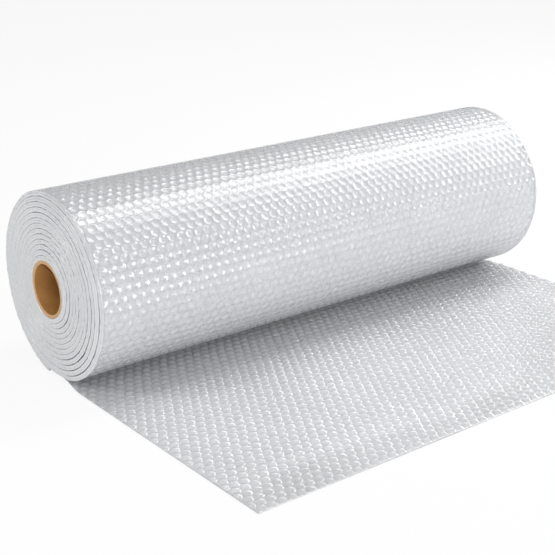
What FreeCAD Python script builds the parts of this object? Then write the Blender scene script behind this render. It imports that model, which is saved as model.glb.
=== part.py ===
import FreeCAD
import Part

import math
import os

# Roll of small-bubble film, wound on a cardboard core and lying on its side.
# Millimetres. X runs along the core, -Y is the way the loose end is pulled out, +Z is up.
# The origin is on the floor, straight below the core's middle.

# Cardboard core: a cut length of a standard winding tube.
CORE_BORE_D = 51.0
CORE_WALL = 3.8
CORE_PROUD = 3.0            # the tube sticks out of the winding by this much at each end

# Film: width of the web, its thickness with the bubbles, and the air between two turns.
WEB_WIDTH = 602.0
WEB_THICKNESS = 4.4
TURN_GAP = 0.8
FULL_TURNS = 12
CORE_CLEARANCE = 0.25       # between the tube and the first lap of film

# Lying on the floor.
FLAT_SPOT_DEPTH = 1.7       # the lowest film is pressed this much thinner under the roll
LOOSE_END_REACH = 331.0     # from below the core's axis to the loose end
CORNER_RADIUS = 5.0         # the two corners of the loose end

# Bubbles that stand on the loose end. In the film they are a bubble pitch apart in rows
# along the core, each row half a pitch on from the one before. Every third bubble of every
# third row is built.
BACKING_THICKNESS = 1.2     # the film between the bubbles
BUBBLE_PITCH = 10.3
BUBBLE_FOOT_D = 9.4
BUBBLE_TOP_D = 5.2
BUBBLE_SIDES = 6
BUILT_EVERY = 3
BUILT_ROWS = 11

SAME_PLACE = 0.001          # two lengths or places this close are the same one

# Sizes that follow from those above.
CORE_BORE_R = CORE_BORE_D / 2
CORE_R = CORE_BORE_R + CORE_WALL
CORE_LENGTH = WEB_WIDTH + 2 * CORE_PROUD
TURN_PITCH = WEB_THICKNESS + TURN_GAP
FIRST_LAP_R = CORE_R + CORE_CLEARANCE
ROLL_R = FIRST_LAP_R + WEB_THICKNESS + FULL_TURNS * TURN_PITCH
AXIS_Z = ROLL_R - FLAT_SPOT_DEPTH
FRONT_CENTRE_Z = AXIS_Z + TURN_PITCH / 2
ROW_STEP = BUBBLE_PITCH * math.sqrt(3) / 2
# Built bubbles in the first row, with plain film left at both sides. Every other row has one fewer.
BUILT_ACROSS = int((WEB_WIDTH - BUBBLE_FOOT_D) / (BUILT_EVERY * BUBBLE_PITCH))


def point(y, z):
    """A point of the section that is swept along the core."""
    return FreeCAD.Vector(-WEB_WIDTH / 2, y, z)


def arc(centre_z, radius, start_deg, end_deg):
    """An arc about a centre on the roll's upright middle line, by three of its points.
    Angles are from +Y towards +Z."""
    angles = (start_deg, (start_deg + end_deg) / 2, end_deg)
    points = [point(radius * math.cos(math.radians(a)), centre_z + radius * math.sin(math.radians(a)))
              for a in angles]
    return Part.Arc(*points).toShape()


def back_half(radius, start_deg=-90.0):
    """Up the back of the roll, round the core's own axis."""
    return arc(AXIS_Z, radius, start_deg, 90.0)


def front_half(radius):
    """Down the front of the roll. Its centre is half a pitch higher, so that each turn
    comes down exactly one pitch inside the turn before."""
    return arc(FRONT_CENTRE_Z, radius, 90.0, 270.0)


def angle_below_axis(radius, height):
    """Angle from straight down at which a circle round the core's axis is at this height."""
    return math.degrees(math.acos((AXIS_Z - height) / radius))


def outer_side():
    """The film's outer side, from the flat spot inwards, turn by turn."""
    edges = [back_half(ROLL_R, -90.0 + angle_below_axis(ROLL_R, 0.0))]
    for turn in range(FULL_TURNS):
        edges.append(front_half(ROLL_R - turn * TURN_PITCH - TURN_PITCH / 2))
        edges.append(back_half(ROLL_R - (turn + 1) * TURN_PITCH))
    return edges


def inner_side():
    """The film's inner side, from the crease above the loose end inwards, turn by turn."""
    radius = ROLL_R - WEB_THICKNESS
    edges = [back_half(radius, -90.0 - angle_below_axis(radius, WEB_THICKNESS))]
    for turn in range(FULL_TURNS):
        edges.append(front_half(radius - turn * TURN_PITCH - TURN_PITCH / 2))
        edges.append(back_half(radius - (turn + 1) * TURN_PITCH))
    return edges


def web_outline():
    """One closed outline of the whole web: the wound turns, the film's first cut end on
    top of the core, and the loose end flat on the floor, as thick as its backing."""
    outer = outer_side()
    inner = inner_side()
    outer_start = outer[0].firstVertex().Point
    crease = inner[0].firstVertex().Point
    crease_foot = point(crease.y, BACKING_THICKNESS)
    upper_end = point(-LOOSE_END_REACH, BACKING_THICKNESS)
    floor_end = point(-LOOSE_END_REACH, 0.0)
    first_cut = Part.LineSegment(outer[-1].lastVertex().Point, inner[-1].lastVertex().Point)
    straight = [first_cut.toShape(),
                Part.LineSegment(crease, crease_foot).toShape(),
                Part.LineSegment(crease_foot, upper_end).toShape(),
                Part.LineSegment(upper_end, floor_end).toShape(),
                Part.LineSegment(floor_end, outer_start).toShape()]
    edges = Part.__sortEdges__(outer + inner + straight)
    return Part.Wire(edges)


def round_corners(web):
    """Round the two upright corner edges of the loose end."""
    corners = [edge for edge in web.Edges
               if abs(edge.CenterOfMass.y + LOOSE_END_REACH) < SAME_PLACE
               and abs(edge.Length - BACKING_THICKNESS) < SAME_PLACE]
    return web.makeFillet(CORNER_RADIUS, corners)


def ring(x, y, z, diameter):
    """The corners of one level of a bubble."""
    turn = 2 * math.pi / BUBBLE_SIDES
    radius = diameter / 2
    return [FreeCAD.Vector(x + radius * math.cos(side * turn), y + radius * math.sin(side * turn), z)
            for side in range(BUBBLE_SIDES)]


def flat_face(corners):
    """A flat face inside these corners."""
    return Part.Face(Part.makePolygon(corners + corners[:1]))


def bubble(x, y):
    """One bubble, narrowing from the backing up to the film's full thickness."""
    foot = ring(x, y, BACKING_THICKNESS, BUBBLE_FOOT_D)
    top = ring(x, y, WEB_THICKNESS, BUBBLE_TOP_D)
    faces = [flat_face(foot), flat_face(top)]
    for side in range(BUBBLE_SIDES):
        # The side before the first one is the last one.
        faces.append(flat_face([foot[side - 1], foot[side], top[side], top[side - 1]]))
    return Part.Solid(Part.Shell(faces))


def loose_end_bubbles():
    """The built bubbles of the loose end. The first of their rows is the film's second."""
    bubbles = []
    for row in range(BUILT_ROWS):
        y = -LOOSE_END_REACH + (BUILT_EVERY * row + 1.5) * ROW_STEP
        across = BUILT_ACROSS - row % 2
        for place in range(across):
            x = (place - (across - 1) / 2) * BUILT_EVERY * BUBBLE_PITCH
            bubbles.append(bubble(x, y))
    return bubbles


def bubble_wrap():
    """The whole web as one solid."""
    section = Part.Face(web_outline())
    web = round_corners(section.extrude(FreeCAD.Vector(WEB_WIDTH, 0, 0)))
    return web.multiFuse(loose_end_bubbles())


def cardboard_core():
    """A plain tube, cut square at both ends."""
    start = FreeCAD.Vector(-CORE_LENGTH / 2, 0, AXIS_Z)
    along = FreeCAD.Vector(1, 0, 0)
    tube = Part.makeCylinder(CORE_R, CORE_LENGTH, start, along)
    bore = Part.makeCylinder(CORE_BORE_R, CORE_LENGTH, start, along)
    return tube.cut(bore)


def main():
    os.makedirs("parts", exist_ok=True)
    for name, shape in (("cardboard_core", cardboard_core()), ("bubble_wrap", bubble_wrap())):
        shape.exportStep("parts/" + name + ".step")
        box = shape.BoundBox
        print(name, shape.isValid(), len(shape.Solids), "solid,", round(shape.Volume), "mm3,",
              "box", [round(v, 2) for v in (box.XMin, box.YMin, box.ZMin, box.XMax, box.YMax, box.ZMax)])
    print("roll radius", round(ROLL_R, 2), "axis height", round(AXIS_Z, 2))


main()
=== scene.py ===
# %% [markdown]
# A roll of bubble wrap.
# The real thing has two pieces: a brown cardboard tube, and one long web of bubble film that is
# wound on it and runs out flat on the floor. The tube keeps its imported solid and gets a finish.
# The web's plain solid is replaced by meshes that carry what makes bubble wrap look like itself:
# thousands of round bubbles, the soft pillows that show through the outer turn, and the thin,
# uneven film edges at the two ends of the roll.

# %% Load the fixed frame
import math
import random

import bmesh
import bpy
from mathutils import Matrix, Vector, noise


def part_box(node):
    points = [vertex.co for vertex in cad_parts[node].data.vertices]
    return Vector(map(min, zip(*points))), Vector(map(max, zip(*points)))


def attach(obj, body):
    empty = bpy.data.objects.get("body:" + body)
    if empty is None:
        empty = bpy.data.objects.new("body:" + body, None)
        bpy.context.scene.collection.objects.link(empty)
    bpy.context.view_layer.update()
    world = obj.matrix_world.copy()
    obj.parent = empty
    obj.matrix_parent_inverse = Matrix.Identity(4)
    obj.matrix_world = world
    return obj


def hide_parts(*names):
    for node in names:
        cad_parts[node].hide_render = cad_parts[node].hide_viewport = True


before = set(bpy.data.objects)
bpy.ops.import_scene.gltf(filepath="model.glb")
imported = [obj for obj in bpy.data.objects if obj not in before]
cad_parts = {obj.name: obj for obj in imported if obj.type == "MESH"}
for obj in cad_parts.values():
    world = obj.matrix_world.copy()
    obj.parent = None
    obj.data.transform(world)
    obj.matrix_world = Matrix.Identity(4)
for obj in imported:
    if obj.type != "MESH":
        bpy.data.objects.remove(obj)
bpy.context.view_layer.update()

print("nodes:", sorted(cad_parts))

# %% [markdown]
# Everything is placed from the frame. The tube's box gives the axis of the roll, and the web's
# box gives the roll's radius and how far the loose end reaches. The film's own sizes, which no
# box can give, are written here once, in metres.

# %% Sizes
MM = 0.001
core_low, core_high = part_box("cardboard_core")
web_low, web_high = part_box("bubble_wrap")

AXIS_Z = (core_low.z + core_high.z) / 2
ROLL_R = web_high.z - AXIS_Z
CORE_R = (core_high.z - core_low.z) / 2
LOOSE_END_Y = web_low.y
WEB_HALF = web_high.x

WEB_THICK = 4.4 * MM
TURN_PITCH = 5.2 * MM
FULL_TURNS = 12
FIRST_LAP_R = ROLL_R - WEB_THICK - FULL_TURNS * TURN_PITCH
FLAT_SPOT = ROLL_R - AXIS_Z
print("roll radius %.1f mm, axis %.1f mm up, flat spot %.1f mm" % (ROLL_R / MM, AXIS_Z / MM, FLAT_SPOT / MM))

# %% [markdown]
# The bubbles sit in rows that run along the roll, each row shifted by half a bubble: the closest
# packing of circles. So the film divides into equal hexagons with one bubble each, and one cell,
# well made, repeats over the whole web. The cell is a hexagon joined to a stack of rings by
# bridging. A bubble that is formed in a mould has a steep wall, a round shoulder and a low crown,
# so its top ring is closed by a fan to a middle point. Where a bubble is pressed flat, the top
# ring is closed by one face that is shaded flat, and mirrors a lamp all at once.

# %% One bubble cell
BUBBLE_PITCH = 10.3 * MM
ROW_STEP = BUBBLE_PITCH * math.sqrt(3) / 2
RING_SIDES = 10
WELD = 0.01 * MM


def ring_edges(bm, radius, height, sides=RING_SIDES):
    """A ring of edges at this height, for bridging."""
    made = bmesh.ops.create_circle(bm, segments=sides, radius=radius, cap_ends=False,
                                   matrix=Matrix.Translation((0, 0, height)))
    return list({edge for vert in made["verts"] for edge in vert.link_edges})


def bubble_cell(rings, crown_height=None):
    """A hexagon of flat film round one bubble. rings are (radius, height) from the foot up. The
    crown is round when its height is given, and flat when it isn't."""
    bm = bmesh.new()
    below = ring_edges(bm, BUBBLE_PITCH / math.sqrt(3), 0.0, sides=6)
    for radius, height in rings:
        above = ring_edges(bm, radius, height)
        bmesh.ops.bridge_loops(bm, edges=below + above)
        below = above
    slopes = bm.faces[:]
    crown = bmesh.ops.contextual_create(bm, geom=below)["faces"]
    if crown_height is not None:
        fan = bmesh.ops.poke(bm, faces=crown)
        for vert in fan["verts"]:
            vert.co.z = crown_height
        slopes += fan["faces"]
    for face in slopes:
        face.smooth = True
    bmesh.ops.recalc_face_normals(bm, faces=bm.faces[:])
    return bm


BUBBLE_RINGS = [(4.7 * MM, 0.1 * MM), (3.9 * MM, 2.0 * MM), (1.2 * MM, 3.0 * MM)]
BUBBLE_TOP = 3.2 * MM
PILLOW_RINGS = [(4.8 * MM, 0.18 * MM), (4.3 * MM, 0.32 * MM)]
DISH_RINGS = [(4.6 * MM, -0.05 * MM), (3.6 * MM, -0.9 * MM)]
DISH_BOTTOM = -1.25 * MM
test_cell = bubble_cell(BUBBLE_RINGS, BUBBLE_TOP)
print("one bubble cell has", len(test_cell.faces), "faces")
test_cell.free()

# %% [markdown]
# A spin with no angle and a shift is a plain repeat. One repeat makes a row, a second one, of two
# rows at a time, makes the field. The field is made a little too large and cut to its edge with
# bisecting planes, which is how the real web is slit from a wider one.

# %% A field of bubbles
def repeat(bm, step, count):
    """count copies of all that is in bm, each moved on by step."""
    bmesh.ops.spin(bm, geom=bm.verts[:] + bm.edges[:] + bm.faces[:], cent=(0, 0, 0), axis=(0, 0, 1),
                   dvec=step, angle=0.0, steps=count - 1, use_duplicate=True)


def trim(bm, place, outward):
    """Cut away what lies outside a plane."""
    bmesh.ops.bisect_plane(bm, geom=bm.verts[:] + bm.edges[:] + bm.faces[:], dist=WELD,
                           plane_co=place, plane_no=outward, clear_outer=True)


def bubble_field(length, rings, crown_height=None):
    """Film of the web's width in the XY plane, from y = 0 to y = length."""
    bm = bubble_cell(rings, crown_height)
    across = 2 * math.ceil(WEB_HALF / BUBBLE_PITCH) + 3
    repeat(bm, (BUBBLE_PITCH, 0, 0), across)
    first_row = bm.verts[:] + bm.edges[:] + bm.faces[:]
    second = bmesh.ops.duplicate(bm, geom=first_row)["geom"]
    second_verts = [item for item in second if isinstance(item, bmesh.types.BMVert)]
    bmesh.ops.translate(bm, verts=second_verts, vec=(BUBBLE_PITCH / 2, ROW_STEP, 0))
    repeat(bm, (0, 2 * ROW_STEP, 0), math.ceil(length / ROW_STEP / 2) + 1)
    bmesh.ops.remove_doubles(bm, verts=bm.verts[:], dist=WELD)
    start_x = -(across // 2) * BUBBLE_PITCH
    bmesh.ops.translate(bm, verts=bm.verts[:], vec=(start_x, -ROW_STEP / 2, 0))
    trim(bm, (WEB_HALF, 0, 0), (1, 0, 0))
    trim(bm, (-WEB_HALF, 0, 0), (-1, 0, 0))
    trim(bm, (0, length, 0), (0, 1, 0))
    trim(bm, (0, 0, 0), (0, -1, 0))
    return bm


# %% [markdown]
# Where the slitting knife runs through a row, the cut bubbles lose their air and lie flat, so the
# web has a narrow plain margin. No two of the others are filled alike or stand quite straight,
# which makes them glitter unevenly: each gets a fill and a slight tilt of its own from a noise
# that is read once for the whole bubble.

# %% Uneven bubbles and a flat margin
MARGIN = 0.6 * MM
MARGIN_FADE = 1.2 * MM


def smooth_step(value):
    """0 below 0, 1 above 1, and an easy curve between them."""
    value = min(max(value, 0.0), 1.0)
    return value * value * (3 - 2 * value)


def margin_factor(x, along, length):
    """0 at the web's cut edges, 1 past the margin."""
    inside = min(WEB_HALF - abs(x), along, length - along) - MARGIN
    return smooth_step(inside / MARGIN_FADE)


def nearest_bubble(x, along):
    """Row and column of the bubble that this place on the web belongs to, and its centre."""
    here = Vector((x, along))
    middle_row = math.floor(along / ROW_STEP + 0.5)
    found = []
    for row in (middle_row - 1, middle_row, middle_row + 1):
        shift = 0.5 * (row % 2)
        column = round(x / BUBBLE_PITCH - shift)
        centre = Vector(((column + shift) * BUBBLE_PITCH, (row - 0.5) * ROW_STEP))
        found.append(((here - centre).length, row, column, centre))
    return min(found, key=lambda item: item[0])[1:]


def uneven_height(x, along, height, full_height, fill_spread, tilt_spread):
    """Height of a bubble's point, once the bubble has its own fill and its own slight tilt."""
    row, column, centre = nearest_bubble(x, along)
    draw = noise.noise_vector(Vector((column * 7.31, row * 3.17, 0.5)))
    fill = 1.0 - fill_spread * (0.5 + draw.z)
    tilt = draw.x * (x - centre.x) + draw.y * (along - centre.y)
    return height * fill + height / full_height * tilt * tilt_spread


def close_shell(bm, low_z):
    """Draw the two long borders down, join them below, and close the two ends."""
    sides = [edge for edge in bm.edges
             if edge.is_boundary and all(abs(abs(vert.co.x) - WEB_HALF) < WELD for vert in edge.verts)]
    walls = bmesh.ops.extrude_edge_only(bm, edges=sides)["geom"]
    low_verts = {item for item in walls if isinstance(item, bmesh.types.BMVert)}
    for vert in low_verts:
        vert.co.z = low_z
    low_edges = [edge for edge in bm.edges if low_verts.issuperset(edge.verts)]
    bmesh.ops.bridge_loops(bm, edges=low_edges)
    ends = [edge for edge in bm.edges if edge.is_boundary]
    bmesh.ops.holes_fill(bm, edges=ends, sides=0)
    bmesh.ops.recalc_face_normals(bm, faces=bm.faces[:])


def finish_piece(name, bm, material, node="bubble_wrap"):
    """Turn a bmesh into a piece of the part."""
    mesh = bpy.data.meshes.new(name)
    bm.to_mesh(mesh)
    bm.free()
    piece = bpy.data.objects.new(name, mesh)
    bpy.context.scene.collection.objects.link(piece)
    mesh.materials.append(material)
    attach(piece, "root")
    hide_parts(node)
    triangles = sum(len(face.vertices) - 2 for face in mesh.polygons)
    print(name, "has", triangles, "triangles")
    return piece


# %% [markdown]
# The film is two films: a flat one, and a formed one with the bubbles. Each is clear, but light
# that passes several layers of them comes back milky. What the eye reads is gloss: sharp white
# glints on the bubbles, and thin grey lines where the two films are sealed together. So the film
# nearest to the eye is a clear glossy shell, and what lies below it is a pale milky one. Their
# colour comes from a haze that varies slowly over the web, from fine streaks that run along it,
# and from a mask, kept on the mesh, that is 1 on the seals and low between the bubbles. There a
# darker colour is mixed in: painted shade, which stands in for the grey of those lines. All the
# film's materials use the same haze and shade, so it is a node group.

# %% Film haze and painted shade group
def node(tree, kind, place, **settings):
    """Add a node, with its settings."""
    made = tree.nodes.new(kind)
    made.location = place
    for key, value in settings.items():
        setattr(made, key, value)
    return made


def build_film_haze_and_shade():
    """Colour and roughness of film: a slow haze, fine specks, and painted shade on the seals."""
    tree = bpy.data.node_groups.new("film_haze_and_shade", "ShaderNodeTree")
    # The third colour is painted shade for the lines between the bubbles; its strength says how much of it
    # is mixed in.
    for name, kind, default in (("Clear", "NodeSocketColor", (0.66, 0.67, 0.695, 1)),
                                ("Milky", "NodeSocketColor", (0.80, 0.81, 0.83, 1)),
                                ("Painted Shade", "NodeSocketColor", (0.42, 0.43, 0.455, 1)),
                                ("Seal Strength", "NodeSocketFloat", 0.6),
                                ("Haze Scale", "NodeSocketFloat", 14.0),
                                ("Streaks", "NodeSocketFloat", 0.0)):
        socket = tree.interface.new_socket(name, in_out="INPUT", socket_type=kind)
        socket.default_value = default
    tree.interface.new_socket("Color", in_out="OUTPUT", socket_type="NodeSocketColor")
    tree.interface.new_socket("Roughness", in_out="OUTPUT", socket_type="NodeSocketFloat")
    tree.interface.new_socket("Height", in_out="OUTPUT", socket_type="NodeSocketFloat")
    inputs = node(tree, "NodeGroupInput", (-900, 0))
    outputs = node(tree, "NodeGroupOutput", (700, 0))
    coords = node(tree, "ShaderNodeTexCoord", (-900, 300))
    haze = node(tree, "ShaderNodeTexNoise", (-650, 300))
    haze.inputs["Detail"].default_value = 4.0
    specks = node(tree, "ShaderNodeTexNoise", (-650, -300))
    specks.inputs["Scale"].default_value = 420.0
    specks.inputs["Detail"].default_value = 2.0
    drawn_out = node(tree, "ShaderNodeMapping", (-900, 600))
    drawn_out.inputs["Scale"].default_value = (230, 18, 18)
    streaks = node(tree, "ShaderNodeTexNoise", (-650, 600))
    streaks.inputs["Scale"].default_value = 1.0
    streak_part = node(tree, "ShaderNodeMix", (-450, 450), data_type="FLOAT")
    seal = node(tree, "ShaderNodeAttribute", (-650, -600), attribute_name="seal")
    milk = node(tree, "ShaderNodeMix", (-150, 200), data_type="RGBA")
    # Painted shade: a darker colour is mixed in where the mesh's mask is 1, between the bubbles.
    shade_mix = node(tree, "ShaderNodeMix", (150, 100), data_type="RGBA")
    mask = node(tree, "ShaderNodeMath", (-100, -500), operation="MULTIPLY")
    rough = node(tree, "ShaderNodeMapRange", (150, -250))
    rough.inputs["To Min"].default_value = 0.10
    rough.inputs["To Max"].default_value = 0.24
    link = tree.links.new
    link(coords.outputs["Object"], haze.inputs["Vector"])
    link(coords.outputs["Object"], specks.inputs["Vector"])
    link(coords.outputs["Object"], drawn_out.inputs["Vector"])
    link(drawn_out.outputs["Vector"], streaks.inputs["Vector"])
    link(inputs.outputs["Haze Scale"], haze.inputs["Scale"])
    link(inputs.outputs["Streaks"], streak_part.inputs["Factor"])
    link(haze.outputs["Fac"], streak_part.inputs["A"])
    link(streaks.outputs["Fac"], streak_part.inputs["B"])
    link(streak_part.outputs["Result"], milk.inputs["Factor"])
    link(inputs.outputs["Clear"], milk.inputs["A"])
    link(inputs.outputs["Milky"], milk.inputs["B"])
    link(seal.outputs["Fac"], mask.inputs[0])
    link(inputs.outputs["Seal Strength"], mask.inputs[1])
    link(mask.outputs["Value"], shade_mix.inputs["Factor"])
    link(milk.outputs["Result"], shade_mix.inputs["A"])
    link(inputs.outputs["Painted Shade"], shade_mix.inputs["B"])
    link(specks.outputs["Fac"], rough.inputs["Value"])
    link(shade_mix.outputs["Result"], outputs.inputs["Color"])
    link(rough.outputs["Result"], outputs.inputs["Roughness"])
    link(specks.outputs["Fac"], outputs.inputs["Height"])
    return tree


film_haze_and_shade = build_film_haze_and_shade()


def film_material(name, bump, **levels):
    """A glossy film. The haze group drives colour, with its painted shade on the seals, roughness and a
    faint bump.
    """
    material = bpy.data.materials.new(name)
    material.use_nodes = True
    tree = material.node_tree
    shader = tree.nodes["Principled BSDF"]
    shader.inputs["IOR"].default_value = 1.5
    haze = node(tree, "ShaderNodeGroup", (-500, 0), node_tree=film_haze_and_shade)
    for key, value in levels.items():
        haze.inputs[key.replace("_", " ").title()].default_value = value
    bumps = node(tree, "ShaderNodeBump", (-250, -300))
    bumps.inputs["Strength"].default_value = bump
    bumps.inputs["Distance"].default_value = 0.2 * MM
    tree.links.new(haze.outputs["Color"], shader.inputs["Base Color"])
    tree.links.new(haze.outputs["Roughness"], shader.inputs["Roughness"])
    tree.links.new(haze.outputs["Height"], bumps.inputs["Height"])
    tree.links.new(bumps.outputs["Normal"], shader.inputs["Normal"])
    return material


def milky_material(name, bump, **levels):
    """Film with more film behind it: light that enters spreads before it comes back."""
    material = film_material(name, bump, **levels)
    shader = material.node_tree.nodes["Principled BSDF"]
    shader.inputs["Coat Weight"].default_value = 1.0
    shader.inputs["Coat Roughness"].default_value = 0.06
    shader.inputs["Coat IOR"].default_value = 2.2
    shader.inputs["Subsurface Weight"].default_value = 0.7
    shader.inputs["Subsurface Scale"].default_value = 4 * MM
    shader.inputs["Subsurface Radius"].default_value = (1, 1, 1)
    return material


# %% [markdown]
# A clear film is seen best where it is seen edge on, because the eye then looks through more of
# it. Layer Weight gives that. A shell's inner side is left out with Backfacing, so that a bubble
# counts as one film and not as two. Alpha thins the gloss as well as the colour, so the index of
# refraction is raised until the gloss is that of real film again.

# %% Clear film
def clear_material(name, bump, face_on, edge_on, **levels):
    """Film that lets what is behind it show. face_on and edge_on say how dense it looks."""
    material = film_material(name, bump, **levels)
    tree = material.node_tree
    shader = tree.nodes["Principled BSDF"]
    shader.inputs["IOR"].default_value = 3.2
    slant = node(tree, "ShaderNodeLayerWeight", (-900, -600))
    density = node(tree, "ShaderNodeMapRange", (-700, -600))
    density.inputs["To Min"].default_value = face_on
    density.inputs["To Max"].default_value = edge_on
    side = node(tree, "ShaderNodeNewGeometry", (-900, -900))
    outer_side = node(tree, "ShaderNodeMath", (-700, -900), operation="SUBTRACT")
    outer_side.inputs[0].default_value = 1.0
    alpha = node(tree, "ShaderNodeMath", (-450, -700), operation="MULTIPLY")
    tree.links.new(slant.outputs["Facing"], density.inputs["Value"])
    tree.links.new(side.outputs["Backfacing"], outer_side.inputs[1])
    tree.links.new(density.outputs["Result"], alpha.inputs[0])
    tree.links.new(outer_side.outputs["Value"], alpha.inputs[1])
    tree.links.new(alpha.outputs["Value"], shader.inputs["Alpha"])
    return material


WOUND_CLEAR = (0.73, 0.74, 0.76, 1)
WOUND_MILKY = (0.83, 0.835, 0.85, 1)
EDGE_CLEAR = (0.63, 0.64, 0.66, 1)
EDGE_MILKY = (0.76, 0.765, 0.78, 1)
# The strength given to each film is how dark its painted shade between the bubbles is.
loose_bubbles_film = clear_material("loose_bubbles_film", 0.1, 0.27, 0.52, seal_strength=0.3)
loose_backing_film = milky_material("loose_backing_film", 0.3, seal_strength=0.7, haze_scale=160.0)
wound_outer_film = clear_material("wound_outer_film", 0.1, 0.24, 0.55, seal_strength=0.5, streaks=0.4,
                                  clear=WOUND_CLEAR, milky=WOUND_MILKY)
wound_inner_film = milky_material("wound_inner_film", 0.15, seal_strength=0.25, streaks=0.6,
                                  clear=WOUND_CLEAR, milky=WOUND_MILKY)
edge_film = film_material("edge_film", 1.0, seal_strength=0.3, clear=EDGE_CLEAR, milky=EDGE_MILKY)
edge_film.node_tree.nodes["Principled BSDF"].inputs["IOR"].default_value = 2.0

# %% [markdown]
# The loose end lies with its bubbles up. It is one field of bubbles on a flat backing, placed so
# that it ends where the frame says. Film that was wound tight never lies quite flat, so a slow
# wave lifts it here and there by about a millimetre. Under the roll the bubbles are pressed down
# to the room that is left.

# %% Loose end
LOOSE_UNDER_ROLL = 19 * MM
FILM_LEVEL = 0.35 * MM
WAVE_HEIGHT = 0.9 * MM
RIM_SETBACK = 2.5 * MM


def room_under_roll(y):
    """Height of the web's upper side at this distance from below the axis."""
    inner_r = ROLL_R - WEB_THICK
    if abs(y) >= inner_r:
        return WEB_THICK
    return min(WEB_THICK, AXIS_Z - math.sqrt(inner_r ** 2 - min(y, 0.0) ** 2))


def film_wave(x, y):
    """A slow wave of the loose end, none under the roll."""
    height = 0.5 + noise.noise(Vector((x * 9 + 3.3, y * 6, 1.7)))
    return WAVE_HEIGHT * max(height, 0.0) * smooth_step((-y - 0.06) / 0.10)


def draw_in_under_roll(bm):
    """Narrow the web where it runs under the roll, until it lies just inside the roll's rim."""
    for vert in bm.verts:
        share = smooth_step((vert.co.y + 0.05) / 0.05)
        vert.co.x *= 1 - share * 2.5 * RIM_SETBACK / WEB_HALF


def mark_painted_shade(bm, crest):
    """Store where painted shade goes: 1 on the film between the bubbles, 0 from crest up."""
    layer = bm.verts.layers.float.new("seal")
    for vert in bm.verts:
        vert[layer] = 1.0 - min(max(vert.co.z / crest, 0.0), 1.0)


LOOSE_LENGTH = LOOSE_UNDER_ROLL - LOOSE_END_Y
CUT_EDGE = 1.2 * MM


def loose_bubbles():
    """The formed film of the loose end, from its free edge to just under the roll."""
    bm = bubble_field(LOOSE_LENGTH, BUBBLE_RINGS, BUBBLE_TOP)
    # Painted shade: darker low on each bubble and on the film between bubbles.
    mark_painted_shade(bm, BUBBLE_RINGS[1][1])
    for vert in bm.verts:
        x, along, height = vert.co
        y = LOOSE_END_Y + along
        height = uneven_height(x, along, height, BUBBLE_TOP, 0.2, 0.12)
        height *= margin_factor(x, along, LOOSE_LENGTH)
        room = room_under_roll(y) / WEB_THICK
        vert.co = (x, y, (FILM_LEVEL + height) * room + film_wave(x, y))
    close_shell(bm, FILM_LEVEL / 3)
    draw_in_under_roll(bm)
    return finish_piece("loose_bubbles", bm, loose_bubbles_film)


def loose_backing():
    """The flat film below the bubbles. Its cut edges look grey, so painted shade marks a narrow hem."""
    bm = bmesh.new()
    bmesh.ops.create_grid(bm, x_segments=120, y_segments=70, size=0.5)
    bmesh.ops.scale(bm, verts=bm.verts[:], vec=(2 * WEB_HALF, LOOSE_LENGTH, 1))
    hem_x = WEB_HALF - CUT_EDGE
    hem_y = LOOSE_LENGTH / 2 - CUT_EDGE
    along_x = Vector((1, 0, 0))
    along_y = Vector((0, 1, 0))
    for place, across in ((hem_x, along_x), (-hem_x, along_x), (-hem_y, along_y)):
        bmesh.ops.bisect_plane(bm, geom=bm.verts[:] + bm.edges[:] + bm.faces[:], dist=WELD,
                               plane_co=place * across, plane_no=across)
    layer = bm.verts.layers.float.new("seal")
    for vert in bm.verts:
        x = vert.co.x
        y = LOOSE_END_Y + vert.co.y + LOOSE_LENGTH / 2
        # Painted shade: the hem along the cut edges is marked to be coloured darker.
        vert[layer] = float(abs(x) > hem_x + WELD or vert.co.y < -hem_y - WELD)
        room = room_under_roll(y) / WEB_THICK
        vert.co = (x, y, 0.9 * FILM_LEVEL * room + film_wave(x, y))
    for face in bm.faces:
        face.smooth = True
    close_shell(bm, 0.0)
    draw_in_under_roll(bm)
    return finish_piece("loose_backing", bm, loose_backing_film)


loose_pieces = [loose_bubbles(), loose_backing()]

# %% [markdown]
# The outer turn is wound with its bubbles inwards, so the roll shows the flat film. It isn't
# quite flat: the air in each bubble pushes it out into a low disc, and the discs are parted by
# thin sealed lines. Through this clear film the bubbles show from inside, as a field of dishes.
# Both are fields of cells, bent round the roll. The web follows half circles about two centres,
# half a pitch apart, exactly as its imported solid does.

# %% Outer turn
TURN_START = math.radians(11.2)
TURN_END = math.radians(354)
TURN_LENGTH = (TURN_END - TURN_START) * ROLL_R
FILM_SINK = 0.32 * MM
DISH_SINK = 0.75 * MM
OUTER_SLACK = 1.8 * MM
RIM_CURL = 0.7 * MM
RIM_WIDTH = 4 * MM
END_BULGE = 2.5 * MM
RIM_ROUND = 14 * MM


def turn_point(x, angle, depth):
    """A point of the wound web. angle is how far the web has been wound since it left the floor,
    up the back and over the top. depth is below the web's outer side."""
    half = int(angle // math.pi)
    radius = ROLL_R - half * TURN_PITCH / 2 - depth
    centre_z = AXIS_Z + (TURN_PITCH / 2 if half % 2 else 0.0)
    turned = angle - math.pi / 2
    return Vector((x, radius * math.cos(turned), centre_z + radius * math.sin(turned)))


def slack(angle):
    """How far the outer turns sag from their tight place: most at the front, where their own
    weight draws them down, and less with each turn inwards."""
    turn, part = divmod(angle, 2 * math.pi)
    falling = smooth_step((part - math.pi) / (0.5 * math.pi))
    pressed = smooth_step((2 * math.pi - part) / (0.12 * math.pi))
    return OUTER_SLACK * max(1 - turn / 4, 0.0) * falling * pressed


def end_bulge(radius):
    """How far the turns at this radius stand out past the web's half width. The tight inner
    turns do, and the outermost ones are drawn in, which rounds the roll's rim."""
    share = (ROLL_R - radius) / (ROLL_R - FIRST_LAP_R)
    drawn_in = RIM_SETBACK * smooth_step((radius - ROLL_R + RIM_ROUND) / RIM_ROUND)
    return END_BULGE * min(max(share, 0.0), 1.0) - drawn_in


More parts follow.
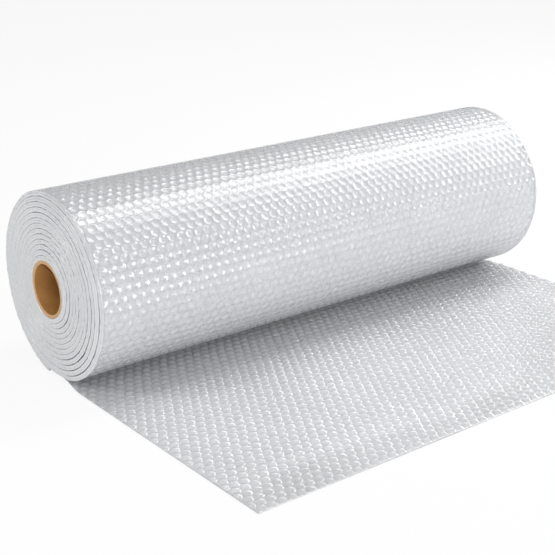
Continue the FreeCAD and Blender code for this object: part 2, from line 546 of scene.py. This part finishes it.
def wind(bm, sink):
    """Bend a flat field round the roll, with its rims drawn in and curled a little."""
    for vert in bm.verts:
        x, along, height = vert.co
        angle = TURN_START + along / ROLL_R
        curl = RIM_CURL * smooth_step((abs(x) - WEB_HALF + RIM_WIDTH) / RIM_WIDTH) ** 2
        x *= 1 - RIM_SETBACK / WEB_HALF
        vert.co = turn_point(x, angle, sink - height + curl - slack(angle))
    bmesh.ops.recalc_face_normals(bm, faces=bm.faces[:])


def outer_film():
    """The clear flat film, pushed out by the bubbles."""
    bm = bubble_field(TURN_LENGTH, PILLOW_RINGS)
    # Painted shade: darker in the thin grooves between the discs.
    mark_painted_shade(bm, PILLOW_RINGS[0][1])
    top = PILLOW_RINGS[-1][1]
    for vert in bm.verts:
        x, along, height = vert.co
        vert.co.z = uneven_height(x, along, height, top, 0.3, 0.05)
    close_shell(bm, -0.12 * MM)
    wind(bm, FILM_SINK)
    return finish_piece("outer_film", bm, wound_outer_film)


def outer_bubbles():
    """The bubbles of the outer turn, seen from inside through the flat film."""
    bm = bubble_field(TURN_LENGTH, DISH_RINGS, DISH_BOTTOM)
    layer = bm.verts.layers.float.new("seal")
    for vert in bm.verts:
        x, along, height = vert.co
        # Painted shade: darker on the seal lines round each dish, none at its bottom.
        vert[layer] = 1.0 - height / DISH_BOTTOM
        vert.co.z = uneven_height(x, along, height, DISH_BOTTOM, 0.3, 0.1)
    close_shell(bm, 1.8 * DISH_BOTTOM)
    wind(bm, DISH_SINK)
    return finish_piece("outer_bubbles", bm, wound_inner_film)


outer_turn_pieces = [outer_film(), outer_bubbles()]

# %% [markdown]
# The ends of the roll show the web's cut edge, turn after turn. A long strip is laid out as a
# grid, folded lengthwise into a closed tube with the edge's profile, and wound into the spiral.
# Its turns don't end level: each stands in or out by a fraction of a millimetre, and the thin
# film crinkles along the cut. Where the web begins, its end is squeezed flat between the tube and
# the first full lap, and fills the narrow crescent there.

# %% Edges of the turns
STEPS_PER_TURN = 300
STRIP_DEPTH = 7 * MM
# Profile of the cut edge, across the web: (share of the pitch from the outer side, depth below
# the end face). The flat film and the bubble film stand out, and the air between them is hollow.
EDGE_PROFILE = [(0.01, 0.5 * MM), (0.09, 0.1 * MM), (0.20, 0.0), (0.32, 0.3 * MM), (0.45, 0.45 * MM),
                (0.56, 0.1 * MM), (0.72, 0.05 * MM), (0.86, 0.2 * MM), (0.99, 0.6 * MM)]


def turn_edges(name, side):
    """The cut edge of all the turns at one end. side is -1 or 1."""
    draw = random.Random(11 + side)
    offsets = [draw.uniform(-0.5, 0.5) * MM for _ in range(FULL_TURNS + 2)]
    turns = FULL_TURNS + 0.97
    first_cut = (FULL_TURNS + 0.5) * 2 * math.pi
    steps = int(turns * STEPS_PER_TURN)
    profile = EDGE_PROFILE + [(0.99, STRIP_DEPTH), (0.60, STRIP_DEPTH)]
    bm = bmesh.new()
    bmesh.ops.create_grid(bm, x_segments=steps, y_segments=len(profile), size=0.5)
    start = math.radians(11)
    seal = bm.verts.layers.float.new("seal")
    for vert in bm.verts:
        along = vert.co.x + 0.5
        row = round((vert.co.y + 0.5) * len(profile)) % len(profile)
        share, depth = profile[row]
        angle = start + along * (turns * 2 * math.pi - start)
        turn = angle / (2 * math.pi)
        nearest = int(turn)
        blend = turn - nearest
        offset = offsets[nearest] * (1 - blend) + offsets[nearest + 1] * blend
        place = turn_point(0.0, angle, share * TURN_PITCH - slack(angle))
        if angle > first_cut:
            lap = turn_point(0.0, angle - 2 * math.pi, 0.99 * TURN_PITCH)
            tube = Vector((0, FIRST_LAP_R * math.sin(angle), AXIS_Z - FIRST_LAP_R * math.cos(angle)))
            place = tube.lerp(lap, 1 - share)
        radius = math.hypot(place.y, place.z - AXIS_Z)
        # Painted shade: the deeper a point of the cut edge lies, the darker it is coloured.
        vert[seal] = min(depth / (0.5 * MM), 1.0)
        x = WEB_HALF + end_bulge(radius)
        if depth < STRIP_DEPTH:
            crinkle = noise.noise(Vector((place.y * 260, place.z * 260, turn * 3.1)))
            x += offset + crinkle * 0.7 * MM - depth
        else:
            x -= depth
        near_tube = smooth_step((FIRST_LAP_R + 8 * MM - radius) / (8 * MM))
        x += near_tube * (core_high.x - WEB_HALF - END_BULGE + 1.0 * MM)
        vert.co = (side * x, place.y, max(place.z, 0.1 * MM))
    bmesh.ops.remove_doubles(bm, verts=bm.verts[:], dist=WELD)
    for face in bm.faces:
        face.smooth = True
    ends = [edge for edge in bm.edges if edge.is_boundary]
    bmesh.ops.holes_fill(bm, edges=ends, sides=0)
    bmesh.ops.recalc_face_normals(bm, faces=bm.faces[:])
    return finish_piece(name, bm, edge_film)


near_edges = turn_edges("turn_edges_near", -1)
far_edges = turn_edges("turn_edges_far", 1)

# %% [markdown]
# The tube is wound from strips of kraft board, glued on a slant. It shows a matt brown wall with
# fine fibres along the strips, a thin slanting seam, and paler cut ends where the layers show as
# rings. All of it follows the place on the tube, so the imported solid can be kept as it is.

# %% Cardboard
STRIP_LEAD = 140 * MM


def build_kraft():
    """Brown board: fibres, a slanting seam, and pale cut ends."""
    material = bpy.data.materials.new("kraft_board")
    material.use_nodes = True
    tree = material.node_tree
    shader = tree.nodes["Principled BSDF"]
    shader.inputs["IOR"].default_value = 1.4
    coords = node(tree, "ShaderNodeTexCoord", (-1400, 0))
    centred = node(tree, "ShaderNodeMapping", (-1200, 0))
    centred.inputs["Location"].default_value = (0, 0, -AXIS_Z)
    fibres = node(tree, "ShaderNodeTexNoise", (-900, 300))
    fibres.inputs["Scale"].default_value = 900.0
    fibres.inputs["Detail"].default_value = 5.0
    blotches = node(tree, "ShaderNodeTexNoise", (-900, 0))
    blotches.inputs["Scale"].default_value = 60.0
    ramp = node(tree, "ShaderNodeValToRGB", (-600, 200))
    ramp.color_ramp.elements[0].color = (0.30, 0.125, 0.035, 1)
    ramp.color_ramp.elements[1].color = (0.72, 0.40, 0.13, 1)
    mixed = node(tree, "ShaderNodeMix", (-750, 150), data_type="FLOAT")
    mixed.inputs["Factor"].default_value = 0.5
    bumps = node(tree, "ShaderNodeBump", (-300, -300))
    bumps.inputs["Strength"].default_value = 0.4
    bumps.inputs["Distance"].default_value = 0.2 * MM
    split = node(tree, "ShaderNodeSeparateXYZ", (-1000, -300))
    reach = node(tree, "ShaderNodeMath", (-800, -300), operation="ABSOLUTE")
    at_end = node(tree, "ShaderNodeMapRange", (-600, -300))
    at_end.inputs["From Min"].default_value = core_high.x - 0.6 * MM
    at_end.inputs["From Max"].default_value = core_high.x - 0.1 * MM
    plies = node(tree, "ShaderNodeTexWave", (-900, 600), wave_type="RINGS", rings_direction="X")
    plies.inputs["Scale"].default_value = 330.0
    plies.inputs["Distortion"].default_value = 1.5
    cut_face = node(tree, "ShaderNodeMix", (-400, 500), data_type="RGBA")
    cut_face.inputs["A"].default_value = (0.52, 0.27, 0.11, 1)
    cut_face.inputs["B"].default_value = (0.78, 0.52, 0.28, 1)
    cut = node(tree, "ShaderNodeMix", (-200, 200), data_type="RGBA")
    around = node(tree, "ShaderNodeMath", (-800, -600), operation="ARCTAN2")
    turned = node(tree, "ShaderNodeMath", (-600, -600), operation="MULTIPLY")
    turned.inputs[1].default_value = 1 / (2 * math.pi)
    wound = node(tree, "ShaderNodeMath", (-400, -600), operation="MULTIPLY_ADD")
    wound.inputs[1].default_value = 1 / STRIP_LEAD
    part = node(tree, "ShaderNodeMath", (-250, -600), operation="FRACT")
    seam = node(tree, "ShaderNodeMath", (-100, -600), operation="LESS_THAN")
    seam.inputs[1].default_value = 0.01
    board = node(tree, "ShaderNodeMix", (-400, 300), data_type="RGBA")
    board.inputs["B"].default_value = (0.22, 0.09, 0.03, 1)
    link = tree.links.new
    link(centred.outputs["Vector"], plies.inputs["Vector"])
    link(plies.outputs["Fac"], cut_face.inputs["Factor"])
    link(cut_face.outputs["Result"], cut.inputs["B"])
    link(split.outputs["Z"], around.inputs[0])
    link(split.outputs["Y"], around.inputs[1])
    link(around.outputs["Value"], turned.inputs[0])
    link(split.outputs["X"], wound.inputs[0])
    link(turned.outputs["Value"], wound.inputs[2])
    link(wound.outputs["Value"], part.inputs[0])
    link(part.outputs["Value"], seam.inputs[0])
    link(seam.outputs["Value"], board.inputs["Factor"])
    link(ramp.outputs["Color"], board.inputs["A"])
    link(board.outputs["Result"], cut.inputs["A"])
    link(coords.outputs["Object"], centred.inputs["Vector"])
    link(centred.outputs["Vector"], fibres.inputs["Vector"])
    link(centred.outputs["Vector"], blotches.inputs["Vector"])
    link(fibres.outputs["Fac"], mixed.inputs["A"])
    link(blotches.outputs["Fac"], mixed.inputs["B"])
    link(mixed.outputs["Result"], ramp.inputs["Fac"])
    link(centred.outputs["Vector"], split.inputs["Vector"])
    link(split.outputs["X"], reach.inputs[0])
    link(reach.outputs["Value"], at_end.inputs["Value"])
    link(at_end.outputs["Result"], cut.inputs["Factor"])
    link(cut.outputs["Result"], shader.inputs["Base Color"])
    link(fibres.outputs["Fac"], bumps.inputs["Height"])
    link(bumps.outputs["Normal"], shader.inputs["Normal"])
    shader.inputs["Roughness"].default_value = 0.75
    return material


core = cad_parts["cardboard_core"]
core.data.materials.clear()
core.data.materials.append(build_kraft())
print("the core keeps its solid and has a kraft finish")

# %% [markdown]
# The setting is a white floor under soft lamps. The floor is nearly white by its own colour, and
# for the camera and for reflections part of it glows white, so that the shadows stay faint.

# %% Floor and world
def build_floor():
    """A wide white floor that keeps a soft shadow."""
    bm = bmesh.new()
    bmesh.ops.create_grid(bm, x_segments=1, y_segments=1, size=12.0)
    mesh = bpy.data.meshes.new("floor")
    bm.to_mesh(mesh)
    bm.free()
    floor = bpy.data.objects.new("floor", mesh)
    bpy.context.scene.collection.objects.link(floor)
    material = bpy.data.materials.new("floor_white")
    material.use_nodes = True
    tree = material.node_tree
    tree.nodes.remove(tree.nodes["Principled BSDF"])
    output = tree.nodes["Material Output"]
    paint = node(tree, "ShaderNodeBsdfDiffuse", (-300, 100))
    paint.inputs["Color"].default_value = (0.92, 0.92, 0.925, 1)
    glow = node(tree, "ShaderNodeEmission", (-300, -100))
    glow.inputs["Color"].default_value = (1, 1, 1, 1)
    glow.inputs["Strength"].default_value = 1.0
    path = node(tree, "ShaderNodeLightPath", (-900, 300))
    seen = node(tree, "ShaderNodeMath", (-650, 300), operation="MAXIMUM")
    share = node(tree, "ShaderNodeMath", (-450, 300), operation="MULTIPLY")
    share.inputs[1].default_value = 0.88
    mix = node(tree, "ShaderNodeMixShader", (0, 0))
    link = tree.links.new
    link(path.outputs["Is Camera Ray"], seen.inputs[0])
    link(path.outputs["Is Glossy Ray"], seen.inputs[1])
    link(seen.outputs["Value"], share.inputs[0])
    link(share.outputs["Value"], mix.inputs["Fac"])
    link(paint.outputs["BSDF"], mix.inputs[1])
    link(glow.outputs["Emission"], mix.inputs[2])
    link(mix.outputs["Shader"], output.inputs["Surface"])
    mesh.materials.append(material)
    return floor


def build_world(strength):
    """Even light from all round, seen as white by the camera."""
    world = bpy.data.worlds.new("studio")
    bpy.context.scene.world = world
    world.use_nodes = True
    tree = world.node_tree
    sky = tree.nodes["Background"]
    sky.inputs["Color"].default_value = (1, 1, 1, 1)
    path = node(tree, "ShaderNodeLightPath", (-700, 0))
    level = node(tree, "ShaderNodeMapRange", (-400, 0))
    level.inputs["To Min"].default_value = strength
    level.inputs["To Max"].default_value = 1.0
    tree.links.new(path.outputs["Is Camera Ray"], level.inputs["Value"])
    tree.links.new(level.outputs["Result"], sky.inputs["Strength"])


build_floor()
build_world(0.43)

# %% [markdown]
# A long soft box overhead, to the right, draws the bright band along the top of the roll and a
# short streak on each loose bubble. Two small lamps far to the right give the bubbles of the roll
# their glints. They stand where no flat disc mirrors them, and only the round parts do. A large
# box fills the front, and a lamp on the left lights the end of the roll.

# %% Lamps
def soft_box(name, place, target, size, watts):
    """A rectangular lamp that faces a point."""
    lamp = bpy.data.lights.new(name, "AREA")
    lamp.shape = "RECTANGLE"
    lamp.size, lamp.size_y = size
    lamp.energy = watts
    holder = bpy.data.objects.new(name, lamp)
    holder.location = place
    holder.rotation_euler = (Vector(target) - Vector(place)).to_track_quat("-Z", "Y").to_euler()
    bpy.context.scene.collection.objects.link(holder)
    return holder


soft_box("overhead", (1.0, 0.05, 1.4), (1.0, 0.05, 0.0), (1.6, 0.6), 13)
soft_box("right_low", (1.79, -0.58, 0.68), (0.0, -0.1, 0.1), (0.3, 0.3), 8)
soft_box("right_high", (1.72, -0.18, 1.0), (0.0, -0.1, 0.1), (0.3, 0.3), 6)
soft_box("fill", (-0.5, -2.4, 0.55), (0.0, -0.1, 0.05), (2.0, 0.9), 31)
soft_box("left", (-1.5, 0.3, 0.95), (-0.3, 0.0, 0.1), (0.4, 0.4), 6)

# %% [markdown]
# The camera stands where the photograph's outlines put it: in front of the near end and to its
# left, looking down by about twenty degrees.

# %% Camera
CAMERA_PLACE = (-0.8302, -1.0242, 0.5210)
CAMERA_TURN = math.radians(-38.36)
CAMERA_DOWN = math.radians(20.12)
CAMERA_LENS = 80.94

eye = bpy.data.cameras.new("eye")
eye.lens = CAMERA_LENS
eye.sensor_width = 36.0
camera = bpy.data.objects.new("eye", eye)
camera.location = CAMERA_PLACE
camera.rotation_euler = (math.pi / 2 - CAMERA_DOWN, 0.0, CAMERA_TURN)
bpy.context.scene.collection.objects.link(camera)
bpy.context.scene.camera = camera
bpy.context.scene.view_settings.view_transform = "Standard"
